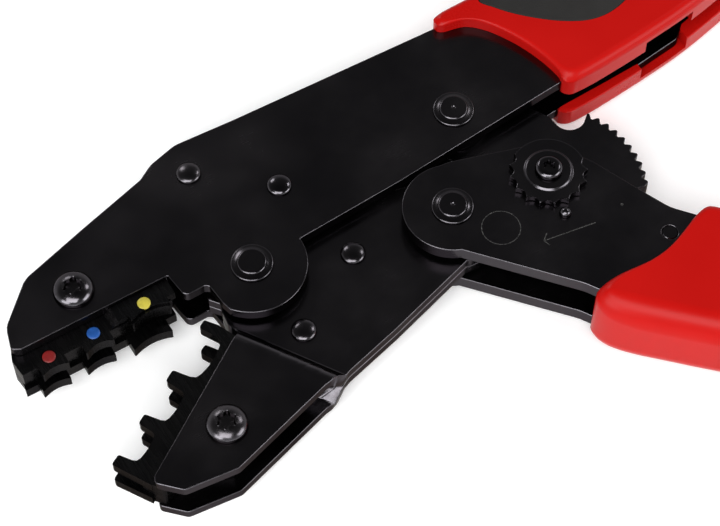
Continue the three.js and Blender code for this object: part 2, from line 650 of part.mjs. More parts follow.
add(
  "adjuster_screw",
  turned(ADJUSTER, [
    [0, 1.5], [SCREW_SHANK_RADIUS, 1.5], [SCREW_SHANK_RADIUS, SCREW_SEAT], [2.75, SCREW_SEAT],
    [2.75, SCREW_SEAT + 0.4], [2.3, SCREW_SEAT + 1.0], [1.5, SCREW_SEAT + 1.3],
    [0, SCREW_SEAT + 1.3],
  ], 20).subtract(prism(starSocket(ADJUSTER, 1.0), [SCREW_SEAT + 0.3, SCREW_SEAT + 2])),
  blackSteel,
);

export default tool;
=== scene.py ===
"""A ratchet crimping tool with open jaws, lying on a pale surface under soft studio light.

Outlines and heights are in millimetres, in plan about the main pivot and up from the tool's middle
plane. Meshes are in metres, in the frame's own axes.
"""

import json
import math

import bmesh
import bpy
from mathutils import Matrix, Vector
from mathutils.geometry import tessellate_polygon


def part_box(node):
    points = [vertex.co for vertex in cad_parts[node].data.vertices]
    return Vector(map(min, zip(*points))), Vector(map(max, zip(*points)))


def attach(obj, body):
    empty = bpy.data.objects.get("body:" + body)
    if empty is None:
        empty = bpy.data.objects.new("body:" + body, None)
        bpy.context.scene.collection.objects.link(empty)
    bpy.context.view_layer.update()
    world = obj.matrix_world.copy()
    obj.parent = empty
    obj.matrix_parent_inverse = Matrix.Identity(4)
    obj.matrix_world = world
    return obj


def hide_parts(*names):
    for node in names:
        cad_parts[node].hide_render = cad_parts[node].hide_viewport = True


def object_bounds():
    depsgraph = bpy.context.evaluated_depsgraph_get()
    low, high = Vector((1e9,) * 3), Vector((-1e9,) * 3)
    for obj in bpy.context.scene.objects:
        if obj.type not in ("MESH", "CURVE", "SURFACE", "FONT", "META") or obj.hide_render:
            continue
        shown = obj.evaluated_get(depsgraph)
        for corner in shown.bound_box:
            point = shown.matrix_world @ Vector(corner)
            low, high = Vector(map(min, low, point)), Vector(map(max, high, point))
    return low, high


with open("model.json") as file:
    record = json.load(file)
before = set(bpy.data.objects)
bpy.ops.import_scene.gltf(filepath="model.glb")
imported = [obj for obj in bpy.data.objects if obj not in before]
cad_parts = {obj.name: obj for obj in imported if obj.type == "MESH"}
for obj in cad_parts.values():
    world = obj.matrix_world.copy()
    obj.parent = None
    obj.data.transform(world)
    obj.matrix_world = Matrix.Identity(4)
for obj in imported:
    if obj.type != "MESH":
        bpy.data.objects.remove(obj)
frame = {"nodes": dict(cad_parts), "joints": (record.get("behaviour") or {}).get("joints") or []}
cad_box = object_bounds()

# ---- Driving dimensions, in millimetres ---------------------------------------------------------

MM = 0.001
JOINTS = {joint["name"]: [value / MM for value in joint["pos_m"]] for joint in frame["joints"]}
MID_Z = JOINTS["lever_pivot"][2]
MAIN = tuple(JOINTS["lever_pivot"][:2])
HANDLE = tuple(JOINTS["handle_pivot"][:2])
ADJUSTER = tuple(JOINTS["adjuster_turn"][:2])
PAWL = tuple(JOINTS["pawl_pivot"][:2])


def centre_of(node):
    """The middle of a CAD node in plan, in millimetres."""
    low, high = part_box(node)
    return ((low.x + high.x) / 2 / MM, (low.y + high.y) / 2 / MM)


def heights_of(node):
    """The lowest and highest point of a CAD node, in millimetres from the middle plane."""
    low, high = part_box(node)
    return (low.z / MM - MID_Z, high.z / MM - MID_Z)


ANCHOR = centre_of("link_anchor_pin")
FRAME_RIVETS = {end: centre_of(f"frame_rivet_{end}") for end in ("upper", "lower")}
LEVER_RIVETS = {end: centre_of(f"lever_rivet_{end}") for end in ("upper", "lower")}
DIE_SCREWS = {jaw: centre_of(f"{jaw}_die_screw") for jaw in ("upper", "lower")}
LOCK_PIN = centre_of("lock_pin")

FRAME_PLATE = heights_of("frame_plate_front")
HANDLE_PLATE = heights_of("handle_plate_front")
LINK_HALF = heights_of("toothed_link")[1]
GRIP_TOP = heights_of("lower_grip")[1]
GRIP_INNER = heights_of("upper_grip_front")[0]
LEVER_FLAT = (0.05, 2.45)  # the front lever plate's levels at the pivot
LEVER_THICKNESS = LEVER_FLAT[1] - LEVER_FLAT[0]
JAW_RAISE = heights_of("lever_plate_front")[1] - LEVER_FLAT[1]

PIN_RADIUS = 3.0
ANCHOR_PIN_RADIUS = 2.4
PAWL_PIN_RADIUS = 1.5
ECCENTRIC_RADIUS = 3.9
PIN_HOLE = 3.1
RIVET_HOLE = 1.7
SCREW_HOLE = 2.0
ANCHOR_HOLE = 2.5
ECCENTRIC_HOLE = 4.0
PAWL_HOLE = 1.6
LOCK_HOLE = 1.0
HUB_RADIUS = 10.0
WHEEL_HUB_RADIUS = 7.7  # of the moving handle, about the adjuster
GRIP_DIRECTION = -50.0  # of the lower grip, in degrees

SIDES = (("front", 1), ("rear", -1))


# ---- Outlines in plan ---------------------------------------------------------------------------


def arc(centre, radius, start, end, step=4.0):
    """Points along an arc, from one angle to the other in degrees."""
    count = max(1, round(abs(end - start) / step))
    angles = [math.radians(start + (end - start) * i / count) for i in range(count + 1)]
    return [(centre[0] + radius * math.cos(a), centre[1] + radius * math.sin(a)) for a in angles]


def circle(centre, radius, count=48):
    return arc(centre, radius, 0, 360, 360 / count)[:-1]


def placed(points, degrees, origin):
    """Turns points about their own origin, and then moves that to a new place."""
    c, s = math.cos(math.radians(degrees)), math.sin(math.radians(degrees))
    return [(origin[0] + c * p[0] - s * p[1], origin[1] + s * p[0] + c * p[1], *p[2:]) for p in points]


def area(points):
    return sum(a[0] * b[1] - b[0] * a[1] for a, b in zip(points, points[1:] + points[:1])) / 2


def anticlockwise(points):
    return points if area(points) > 0 else points[::-1]


def offset(points, distance):
    """A closed outline moved to its left, with mitred corners."""
    moved = []
    for i, p in enumerate(points):
        before, after = points[i - 1], points[(i + 1) % len(points)]
        a = Vector((p[0] - before[0], p[1] - before[1])).normalized()
        b = Vector((after[0] - p[0], after[1] - p[1])).normalized()
        normal = Vector((-a.y - b.y, a.x + b.x))
        scale = distance / max(0.35, 1 + a.dot(b))
        moved.append((p[0] + normal.x * scale, p[1] + normal.y * scale))
    return moved


def filleted(points, step=12.0):
    """Rounds each corner that gives a radius as its third number, and keeps the other points."""
    result = []
    for i, p in enumerate(points):
        if len(p) < 3:
            result.append(p)
            continue
        here = Vector(p[:2])
        to_a = Vector(points[i - 1][:2]) - here
        to_b = Vector(points[(i + 1) % len(points)][:2]) - here
        half = to_a.angle(to_b) / 2
        reach = min(p[2] / math.tan(half), 0.48 * to_a.length, 0.48 * to_b.length)
        radius = reach * math.tan(half)
        start, end = here + to_a.normalized() * reach, here + to_b.normalized() * reach
        middle = here + (to_a.normalized() + to_b.normalized()).normalized() * radius / math.sin(half)
        count = max(2, round(math.degrees(math.pi - 2 * half) / step))
        for k in range(count + 1):
            spoke = (start - middle).lerp(end - middle, k / count).normalized() * radius
            result.append(tuple(middle + spoke))
    return result


def smooth_curve(points, spacing=0.8):
    """A closed curve through the points; where they have a third number, it varies along the curve."""
    result = []
    count = len(points)
    for i in range(count):
        a, b, c, d = (Vector(points[(i + k) % count]) for k in (-1, 0, 1, 2))
        knots = [0.0]
        for start, end in ((a, b), (b, c), (c, d)):
            knots.append(knots[-1] + math.dist(start[:2], end[:2]) ** 0.5)
        steps = max(2, round(math.dist(b[:2], c[:2]) / spacing))
        for step in range(steps):
            t = knots[1] + (knots[2] - knots[1]) * step / steps
            part = [(t - knots[k]) / (knots[k + 1] - knots[k]) for k in range(3)]
            first, middle, last = a.lerp(b, part[0]), b.lerp(c, part[1]), c.lerp(d, part[2])
            left = first.lerp(middle, (t - knots[0]) / (knots[2] - knots[0]))
            right = middle.lerp(last, (t - knots[1]) / (knots[3] - knots[1]))
            result.append(tuple(left.lerp(right, part[1])))
    return result


def relaxed(points, rounds):
    """Evens out a closed loop, so that it stays smooth as it shrinks."""
    for _ in range(rounds):
        points = [
            tuple((a + 2 * b + c) / 4 for a, b, c in zip(points[i - 1], p, points[(i + 1) % len(points)]))
            for i, p in enumerate(points)
        ]
    return points


FRAME_OUTLINE = anticlockwise(
    filleted(
        [
            *arc(MAIN, 10.9, 1, -142),
            (-9.1, -4.6, 1.5),
            (-9.5, -0.1, 0.8),
            (-10.4, 0.4, 0.5),
            (-14.0, 0.3, 1.2),
            (-14.7, 1.2, 1.0),
            (-15.3, 6.1, 0.4),
            (-46.8, 6.1, 0.4),
            (-48.5, 7.0, 0.9),
            (-47.1, 11.9, 4),
            (-39.9, 19.0, 2.5),
            (-38.6, 19.8, 2.5),
            (-24.6, 24.0, 8),
            (-9.5, 28.3, 2),
            (-6.1, 30.4, 6),
            (0.2, 32.1, 6),
            (13.8, 31.4, 20),
            (61.1, 30.0, 3),
            (76, 28.5, 3),
            (100, 28.5, 9),
            (140, 31, 9),
            (158, 31, 4),
            (164, 27, 4),
            (157, 20.5, 4),
            (145, 17.2, 9),
            (122, 12.6, 9),
            (110, 9.6, 1),
            (107.5, 7.3, 2),
            (96.5, 5.9, 9),
            (88, 5.5, 9),
            (74.2, 5.0, 3),
            (34.6, 1.5, 9),
        ]
    )
)

HANDLE_OUTLINE = anticlockwise(
    filleted(
        [
            *arc(HANDLE, HUB_RADIUS, -112, -286),
            (45.2, -0.1, 6),
            *arc(ADJUSTER, WHEEL_HUB_RADIUS, 72, 10),
            (69.8, -15.0, 6),
            (73.7, -24.6, 20),
            (76.6, -31.4, 8),
            *placed(
                [
                    (31.5, 0.6, 5),
                    (60, 0.2, 9),
                    (100, 0.8, 6),
                    (111, -1, 6),
                    (115, -9, 6),
                    (111, -17, 6),
                    (100, -19.5, 9),
                    (60, -19, 9),
                    (32, -21, 9),
                    (17.2, -22.1, 9),
                    (13.9, -21.6, 9),
                ],
                GRIP_DIRECTION,
                ADJUSTER,
            ),
        ]
    )
)

# Each point of a grip also has the radius of the moulding's edge there.
UPPER_GRIP = [
    (60.5, 30.6, 0.8), (60.4, 28.9, 0.7), (61.2, 28.2, 0.6), (65.9, 27.0, 0.7), (68.9, 24.3, 0.8),
    (71.4, 20.3, 0.8), (73.3, 16.0, 0.9), (74.8, 10.9, 1.0), (75.5, 6.2, 1.2), (75.3, 4.5, 1.5),
    (76.4, 3.2, 1.9), (80, 2.9, 2.1), (87, 3.3, 2.2), (97.5, 4.3, 2.2), (108, 5.7, 2.2),
    (122, 8.7, 2.4), (145, 14.4, 2.6), (157, 18.2, 2.8), (165, 22.3, 2.8), (168.5, 28, 2.8),
    (166.2, 34.0, 2.8), (158, 37.0, 2.8), (130, 36.1, 2.6), (95, 33.1, 2.4), (70, 31.9, 1.8),
]  # fmt: skip

INLAY = [
    (70.9, 29.6), (72.7, 26.3), (75.6, 22.6), (79.6, 18.7), (83.4, 15.8),
    (87.4, 13.7), (91, 13.0), (94.5, 13.3), (99, 14.6), (110, 17.3),
    (130, 21.3), (150, 25.2), (156.5, 28.5), (150, 31.9), (130, 32.7),
    (100, 30.5),
]  # fmt: skip

LOWER_GRIP = placed(
    [
        (32.3, 2.5, 0.9), (31.2, 1.3, 0.6), (30.1, -1.0, 0.6), (28.8, -5.2, 0.6),
        (27.1, -9.7, 0.6), (24.4, -13.7, 0.7), (20.2, -17.8, 0.9), (17.8, -20.6, 1.5),
        (16.5, -22.9, 2.3), (17.2, -24.9, 3.3), (19.8, -26.3, 4.3), (24, -26.7, 5.0),
        (35, -25.8, 5.2), (60, -23.5, 5.2), (88, -23.7, 5.0), (107, -24.8, 4.6),
        (116.2, -21.6, 4.6), (119.6, -14, 4.6), (119.0, -5, 4.6), (114, 1.5, 4.6),
        (105, 3.7, 4.8), (85, 3.4, 5.0), (60, 2.6, 5.0), (44, 2.7, 4.0), (36, 3.0, 2.0),
    ],
    GRIP_DIRECTION,
    ADJUSTER,
)  # fmt: skip


# ---- Meshes -------------------------------------------------------------------------------------

SHARP = math.radians(32)  # a sharper turn than this shades as an edge
MOULDED_SHARP = math.radians(40)  # the same for the grips
PLATE_EDGE = 0.2  # the radius of a plate's broken edges


def new_piece(name, vertices, faces, lift=MID_Z, smooth=SHARP):
    """A mesh object from points in millimetres above the middle plane."""
    mesh = bpy.data.meshes.new(name)
    scaled = [(x * MM, y * MM, (z + lift) * MM) for x, y, z in vertices]
    mesh.from_pydata(scaled, [], faces)
    work = bmesh.new()
    work.from_mesh(mesh)
    bmesh.ops.remove_doubles(work, verts=work.verts, dist=1e-7)
    bmesh.ops.recalc_face_normals(work, faces=work.faces)
    work.to_mesh(mesh)
    work.free()
    finish_shading(mesh, smooth)
    piece = bpy.data.objects.new(name, mesh)
    bpy.context.scene.collection.objects.link(piece)
    return piece


def finish_shading(mesh, angle=SHARP):
    """Smooth shading in which level faces and upright walls keep their own direction.

    The rounded edges between them then blend from one to the other.
    """
    mesh.shade_smooth()
    mesh.set_sharp_from_angle(angle=angle)
    normals = [corner.vector.copy() for corner in mesh.corner_normals]
    level, upright = {}, set()
    for face in mesh.polygons:
        if abs(face.normal.z) > 0.9999:
            level.update({vertex: face.normal.copy() for vertex in face.vertices})
        elif abs(face.normal.z) < 0.001:
            upright.update(face.vertices)
    for face in mesh.polygons:
        for i in face.loop_indices:
            vertex = mesh.loops[i].vertex_index
            if vertex in level and face.normal.dot(level[vertex]) > math.cos(angle):
                normals[i] = level[vertex]
            elif vertex in upright and abs(face.normal.z) < math.sin(angle):
                normals[i] = Vector((normals[i].x, normals[i].y, 0)).normalized()
    mesh.normals_split_custom_set(normals)


def stacked(outlines, rings):
    """Walls and end caps for one outer outline and its holes.

    A ring is a distance into the material and a height. The first and the last are capped.
    """
    loops = [anticlockwise(outlines[0])] + [anticlockwise(hole)[::-1] for hole in outlines[1:]]
    vertices, faces, starts = [], [], []
    for inset, z in rings:
        starts.append(len(vertices))
        for loop in loops:
            vertices += [(x, y, z) for x, y in offset(loop, inset)]
    for low, high in zip(starts, starts[1:]):
        at = 0
        for loop in loops:
            for i in range(len(loop)):
                j = (i + 1) % len(loop)
                faces.append((low + at + i, low + at + j, high + at + j, high + at + i))
            at += len(loop)
    for start in (starts[0], starts[-1]):
        at, polygons = start, []
        for loop in loops:
            polygons.append([Vector((*vertices[at + i][:2], 0)) for i in range(len(loop))])
            at += len(loop)
        for a, b, c in tessellate_polygon(polygons):
            faces.append((start + a, start + b, start + c))
    return vertices, faces


def edge_rings(bottom, top, low_edge, high_edge, steps=3):
    """Rings of a plate with rounded edges, from its bottom face to its top face."""
    turns = [math.pi / 2 * i / steps for i in range(steps + 1)]
    low = [(low_edge * (1 - math.sin(a)), bottom + low_edge * (1 - math.cos(a))) for a in turns]
    high = [(high_edge * (1 - math.sin(a)), top - high_edge * (1 - math.cos(a))) for a in turns]
    return low + high[::-1]


def plate(name, outlines, heights, edge=PLATE_EDGE):
    """A flat plate with rounded edges, from one outer outline and its holes."""
    bottom, top = sorted(heights)
    return new_piece(name, *stacked(outlines, edge_rings(bottom, top, edge, edge)))


def lofted(name, loops, smooth=SHARP):
    """Walls between loops of equal count, given upwards, and a cap on each end."""
    count = len(loops[0])
    vertices = [point for loop in loops for point in loop]
    faces = []
    for low in range(0, count * (len(loops) - 1), count):
        for i in range(count):
            j = (i + 1) % count
            faces.append((low + i, low + j, low + count + j, low + count + i))
    faces.append(tuple(range(count))[::-1])
    faces.append(tuple(range(count * (len(loops) - 1), count * len(loops))))
    return new_piece(name, vertices, faces, smooth=smooth)


def round_loops(centre, profile, count=64):
    """Loops for (radius, height) points; a radius may be a function of the angle."""
    loops = []
    for radius, z in profile:
        loop = []
        for i in range(count):
            a = 2 * math.pi * i / count
            r = radius(a) if callable(radius) else radius
            loop.append((centre[0] + r * math.cos(a), centre[1] + r * math.sin(a), z))
        loops.append(loop)
    return loops


def rounded_rim(radius, z, edge, steps=4):
    """Profile points over the upper edge of a disc."""
    turns = [math.pi / 2 * i / steps for i in range(steps + 1)]
    return [(radius - edge * (1 - math.cos(a)), z - edge * (1 - math.sin(a))) for a in turns]


def star(radius):
    """The six-lobed outline of a star-drive socket."""
    return lambda a: radius * (1 + 0.16 * math.cos(6 * a))


def mirrored(profile):
    """The same profile on the rear side, for a piece that is drawn from the middle outwards."""
    return [(r, -z) for r, z in profile][::-1] + profile


def carved(piece, cutters):
    """Cuts the other pieces out of this one, and deletes them."""
    for cutter in cutters:
        cut = piece.modifiers.new("cut", "BOOLEAN")
        cut.operation = "DIFFERENCE"
        cut.object = cutter
        cut.solver = "EXACT"
    bpy.context.view_layer.update()
    evaluated = piece.evaluated_get(bpy.context.evaluated_depsgraph_get())
    mesh = bpy.data.meshes.new_from_object(evaluated)
    piece.modifiers.clear()
    old = piece.data
    piece.data = mesh
    bpy.data.meshes.remove(old)
    mesh.name = piece.name
    for cutter in cutters:
        bpy.data.objects.remove(cutter)
    finish_shading(mesh)
    return piece


def tube(name, path, radius, sides=10):
    """A round wire along a path of points, closed at its ends."""
    vertices, faces = [], []
    for i, point in enumerate(path):
        here = Vector(point)
        ahead = Vector(path[min(i + 1, len(path) - 1)]) - Vector(path[max(i - 1, 0)])
        ahead.normalize()
        side = ahead.cross(Vector((0, 0, 1)))
        side = side.normalized() if side.length > 1e-6 else Vector((1, 0, 0))
        up = side.cross(ahead)
        for k in range(sides):
            a = 2 * math.pi * k / sides
            vertices.append(tuple(here + (side * math.cos(a) + up * math.sin(a)) * radius))
    for low in range(0, sides * (len(path) - 1), sides):
        for k in range(sides):
            j = (k + 1) % sides
            faces.append((low + k, low + j, low + sides + j, low + sides + k))
    faces.append(tuple(range(sides))[::-1])
    faces.append(tuple(range(sides * (len(path) - 1), sides * len(path))))
    return new_piece(name, vertices, faces, smooth=math.radians(60))


# ---- Materials ----------------------------------------------------------------------------------


class Nodes:
    """A small helper that adds and links a material's nodes."""

    def __init__(self, name):
        self.material = bpy.data.materials.new(name)
        self.material.use_nodes = True
        self.tree = self.material.node_tree
        self.shader = self.tree.nodes["Principled BSDF"]

    def add(self, kind, inputs=None, **settings):
        node = self.tree.nodes.new(kind)
        for key, value in settings.items():
            setattr(node, key, value)
        for key, value in (inputs or {}).items():
            if isinstance(value, bpy.types.NodeSocket):
                self.tree.links.new(value, node.inputs[key])
            else:
                node.inputs[key].default_value = value
        return node

    def set(self, **inputs):
        for key, value in inputs.items():
            socket = self.shader.inputs[key.replace("_", " ")]
            if isinstance(value, bpy.types.NodeSocket):
                self.tree.links.new(value, socket)
            else:
                socket.default_value = value

    def place(self, stretch=(1, 1, 1)):
        coordinates = self.add("ShaderNodeTexCoord").outputs["Object"]
        return self.add("ShaderNodeMapping", {"Vector": coordinates, "Scale": stretch}).outputs[0]

    def noise(self, scale, detail=4.0, stretch=(1, 1, 1), roughness=0.55):
        inputs = {"Vector": self.place(stretch), "Scale": scale, "Detail": detail, "Roughness": roughness}
        return self.add("ShaderNodeTexNoise", inputs).outputs["Fac"]

    def ramp(self, factor, stops):
        node = self.add("ShaderNodeValToRGB", {"Fac": factor})
        elements = node.color_ramp.elements
        while len(elements) < len(stops):
            elements.new(0.5)
        for element, (position, colour) in zip(elements, stops):
            element.position = position
            element.color = (*colour, 1) if len(colour) == 3 else colour
        return node.outputs["Color"]

    def spread(self, factor, low, high, start=0.0, end=1.0):
        """The factor's range turned into another range."""
        inputs = {"Value": factor, "From Min": start, "From Max": end, "To Min": low, "To Max": high}
        return self.add("ShaderNodeMapRange", inputs).outputs[0]

    def maths(self, operation, a, b):
        return self.add("ShaderNodeMath", {0: a, 1: b}, operation=operation).outputs[0]

    def mixed(self, factor, a, b):
        node = self.add("ShaderNodeMix", data_type="RGBA")
        for index, value in ((0, factor), (6, a), (7, b)):
            if isinstance(value, bpy.types.NodeSocket):
                self.tree.links.new(value, node.inputs[index])
            else:
                node.inputs[index].default_value = value
        return node.outputs[2]

    def bump(self, height, distance, strength=1.0):
        inputs = {"Height": height, "Distance": distance, "Strength": strength}
        return self.add("ShaderNodeBump", inputs).outputs["Normal"]


def edge_highlight_and_wear(nodes, strength):
    """Lighter rounded edges, which lie at a slant, broken up by noise: partly worn metal, partly a
    painted highlight.
    """
    normal = nodes.add("ShaderNodeNewGeometry").outputs["Normal"]
    upward = nodes.add("ShaderNodeSeparateXYZ", {"Vector": normal}).outputs["Z"]
    level = nodes.add("ShaderNodeMath", {0: upward}, operation="ABSOLUTE").outputs[0]
    slant = nodes.maths("MULTIPLY", level, nodes.maths("SUBTRACT", 1.0, level))
    broken = nodes.spread(nodes.noise(900.0), 0.2, 1.0, 0.35, 0.6)
    return nodes.maths("MULTIPLY", nodes.spread(slant, 0.0, strength, 0.08, 0.25), broken)


def black_steel(name="black_steel", base=0.075, roughness=0.2):
    """Blued steel: near black, with faint rolling marks, smudges and slightly lighter edges, partly worn
    metal and partly a painted highlight.
    """
    nodes = Nodes(name)
    smudge = nodes.noise(60.0, 5.0)
    grain = nodes.noise(2600.0, 3.0, stretch=(0.12, 1, 1))
    colour = nodes.ramp(
        smudge,
        [(0.3, (base * 0.85, base * 0.8, base * 0.9)), (0.75, (base * 1.1, base * 1.02, base * 1.1))],
    )
    # The rounded edges' colour: partly worn metal, partly a painted highlight.
    highlight_and_wear_colour = (0.16, 0.155, 0.17, 1)
    colour = nodes.mixed(edge_highlight_and_wear(nodes, 0.6), colour, highlight_and_wear_colour)
    shine = nodes.maths(
        "ADD",
        nodes.spread(smudge, roughness - 0.05, roughness + 0.09, 0.3, 0.75),
        nodes.spread(grain, -0.03, 0.03),
    )
    nodes.set(
        Base_Color=colour,
        Metallic=1.0,
        Roughness=shine,
        Normal=nodes.bump(grain, 0.00002, 0.35),
        Specular_Tint=(0.34, 0.33, 0.31, 1),
    )
    return nodes.material


def machined_steel():
    """The dies' darker oxide over fine grinding marks."""
    nodes = Nodes("die_steel")
    marks = nodes.noise(1800.0, 3.0, stretch=(1, 0.08, 1))
    patch = nodes.noise(140.0, 4.0)
    colour = nodes.ramp(patch, [(0.3, (0.026, 0.026, 0.028)), (0.8, (0.038, 0.037, 0.037))])
    # Lighter rounded edges: partly worn metal, partly a painted highlight.
    colour = nodes.mixed(edge_highlight_and_wear(nodes, 0.5), colour, (0.2, 0.195, 0.2, 1))
    shine = nodes.spread(marks, 0.22, 0.32, 0.3, 0.7)
    nodes.set(
        Base_Color=colour,
        Metallic=1.0,
        Roughness=shine,
        Normal=nodes.bump(marks, 0.00001, 0.12),
        Specular_Tint=(0.4, 0.39, 0.38, 1),
    )
    return nodes.material


def red_plastic():
    """Glossy moulded plastic with a very fine spark-eroded grain and faint flow shading."""
    nodes = Nodes("red_plastic")
    flow = nodes.noise(24.0, 3.0)
    grain = nodes.noise(2400.0, 2.0)
    colour = nodes.ramp(flow, [(0.3, (0.36, 0.0035, 0.0025)), (0.75, (0.43, 0.005, 0.0035))])
    shine = nodes.maths("ADD", nodes.spread(flow, 0.24, 0.34, 0.3, 0.7), nodes.spread(grain, -0.03, 0.03))
    nodes.set(
        Base_Color=colour,
        Roughness=shine,
        Normal=nodes.bump(grain, 0.00003, 0.25),
        Specular_IOR_Level=0.12,
    )
    return nodes.material


def soft_inlay():
    """Dark soft-touch rubber with a dense matt grain."""
    nodes = Nodes("soft_inlay")
    grain = nodes.add(
        "ShaderNodeTexVoronoi", {"Vector": nodes.place(), "Scale": 2600.0}
    ).outputs["Distance"]
    wear = nodes.noise(80.0, 4.0)
    colour = nodes.ramp(wear, [(0.3, (0.013, 0.0125, 0.012)), (0.75, (0.022, 0.021, 0.020))])
    nodes.set(
        Base_Color=colour,
        Roughness=nodes.spread(wear, 0.6, 0.78, 0.3, 0.7),
        Normal=nodes.bump(grain, 0.00006, 0.6),
        Specular_IOR_Level=0.2,
    )
    return nodes.material


def enamel(name, colour):
    """A filled dot of paint, a little uneven."""
    nodes = Nodes(name)
    blot = nodes.noise(900.0, 3.0)
    darker = tuple(channel * 0.7 for channel in colour)
    nodes.set(
        Base_Color=nodes.ramp(blot, [(0.3, darker), (0.65, colour)]),
        Roughness=nodes.spread(blot, 0.3, 0.5),
        Normal=nodes.bump(blot, 0.0001, 0.5),
    )
    return nodes.material


def etched_mark():
    """Bare metal where a laser has taken the blueing off."""
    nodes = Nodes("etched_mark")
    speckle = nodes.noise(3000.0, 2.0)
    colour = nodes.ramp(speckle, [(0.35, (0.05, 0.05, 0.05)), (0.7, (0.2, 0.195, 0.19))])
    nodes.set(Base_Color=colour, Metallic=1.0, Roughness=nodes.spread(speckle, 0.4, 0.6))
    return nodes.material


STEEL = black_steel()
PIN_STEEL = black_steel("pin_steel", base=0.07, roughness=0.16)
DIE_STEEL = machined_steel()
RED = red_plastic()
INLAY_RUBBER = soft_inlay()
MARK = etched_mark()
DOT_COLOURS = {"red": (0.2, 0.01, 0.01), "blue": (0.012, 0.08, 0.32), "yellow": (0.5, 0.43, 0.05)}


def dressed(piece, material, body, slot, *nodes):
    """Gives a piece its material and body, and hides the CAD nodes it stands for. The slot is not used.
    """
    piece.data.materials.clear()
    piece.data.materials.append(material)
    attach(piece, body)
    if nodes:
        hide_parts(*nodes)
    return piece


def steel_piece(piece, body, *nodes, material=STEEL):
    return dressed(piece, material, body, "black_steel", *nodes)


# ---- Pins, rivets, screws and washers -----------------------------------------------------------

SEAT = 0.12  # how far a head stands off its plate
FLANGE_RADIUS = 4.2
BOSS_RADIUS = 2.95
RIVET_HEAD_RADIUS = 2.5
SPACER_RADIUS = 3.6
SCREW_HEAD_RADIUS = 4.0
NUT_RADIUS = 3.8
CRISP = math.radians(20)  # the sharpest turn that still shades as round on a screw head


def pin_profile(face, shaft, dimple):
    """Half of a riveted pin, outwards from its plate: shaft, flange, raised boss."""
    seat, flange_top, boss_top = face + SEAT, face + 0.55, face + 1.08
    profile = [(shaft, seat), (FLANGE_RADIUS - 0.1, seat), (FLANGE_RADIUS, seat + 0.1)]
    profile += rounded_rim(FLANGE_RADIUS, flange_top, 0.3)
    profile += [(3.2, flange_top + 0.02), (3.05, flange_top + 0.1)]
    profile += rounded_rim(BOSS_RADIUS, boss_top, 0.42)
    if dimple:
        profile += [(0.5, boss_top), (0.38, boss_top - 0.06), (0.18, boss_top - 0.2)]
    return profile + [(0.08, profile[-1][1])]


def riveted_pin(name, body, centre, shaft, face, dimple):
    profile = pin_profile(face, shaft, dimple)
    return steel_piece(
        lofted(name, round_loops(centre, mirrored(profile))), body, name[3:], material=PIN_STEEL
    )


def dome_angles(count):
    """Angles from the rim of a dome to just short of its top."""
    return [math.pi / 2 * 0.98 * i / count for i in range(count + 1)]


def pan_angles(count):
    """Angles over a pan head, from just above its rim to its top."""
    return [math.pi / 2 * (i + 1) / count for i in range(count)]


def button_angles(count):
    """Angles from the rim of a button head up to the edge of its socket."""
    return [math.radians(60) * i / count for i in range(count + 1)]


def domed_rivet(name, body, centre, face):
    seat = face + SEAT
    dome = [(RIVET_HEAD_RADIUS * math.cos(a), seat + 0.12 + 0.88 * math.sin(a)) for a in dome_angles(7)]
    profile = [(1.6, seat), (2.42, seat), (RIVET_HEAD_RADIUS, seat + 0.06), *dome]
    return steel_piece(
        lofted(name, round_loops(centre, mirrored(profile), 48)), body, name[3:], material=PIN_STEEL
    )


def star_screw(name, body, centre, face):
    """A button-headed screw with a star socket, and its shank's end at the rear."""
    seat, top = face + SEAT, face + 2.35
    rim = seat + 0.35
    profile = [(1.3, -seat - 1.72), (1.9, -seat - 1.5), (1.9, seat), (3.85, seat)]
    profile += [(SCREW_HEAD_RADIUS, seat + 0.12)]
    profile += [
        (SCREW_HEAD_RADIUS * math.cos(a), rim + (top - rim) * math.sin(a)) for a in button_angles(8)
    ]
    profile += [(star(1.75), top - 0.2), (star(1.66), top - 0.32)]
    profile += [(star(1.56), top - 1.5), (0.3, top - 1.7)]
    return steel_piece(
        lofted(name, round_loops(centre, profile, 72), CRISP), body, name[3:], material=PIN_STEEL
    )


def ring(name, body, centre, radii, heights, node, edge=0.12):
    """A plain washer, spacer sleeve or nut."""
    inner, outer = radii
    outlines = [circle(centre, outer, 64), circle(centre, inner, 64)]
    return steel_piece(plate(name, outlines, heights, edge), body, node)


riveted_pin("my_main_pivot_pin", "frame", MAIN, PIN_RADIUS, FRAME_PLATE[1], False)
riveted_pin("my_link_anchor_pin", "frame", ANCHOR, ANCHOR_PIN_RADIUS, FRAME_PLATE[1], True)
riveted_pin("my_handle_pivot_pin", "handle", HANDLE, PIN_RADIUS, HANDLE_PLATE[1], True)
for end, centre in FRAME_RIVETS.items():
    domed_rivet(f"my_frame_rivet_{end}", "frame", centre, FRAME_PLATE[1])
    ring(
        f"my_frame_spacer_{end}", "frame", centre, (RIVET_HOLE, SPACER_RADIUS),
        heights_of(f"frame_spacer_{end}"), f"frame_spacer_{end}", 0.25,
    )  # fmt: skip
for end, centre in LEVER_RIVETS.items():
    domed_rivet(f"my_lever_rivet_{end}", "lever", centre, LEVER_FLAT[1])
star_screw("my_upper_die_screw", "frame", DIE_SCREWS["upper"], FRAME_PLATE[1])
star_screw("my_lower_die_screw", "lever", DIE_SCREWS["lower"], LEVER_FLAT[1] + JAW_RAISE)
for jaw, body in (("upper", "frame"), ("lower", "lever")):
    node = f"{jaw}_die_nut"
    ring(f"my_{node}", body, DIE_SCREWS[jaw], (SCREW_HOLE, NUT_RADIUS), heights_of(node), node, 0.3)
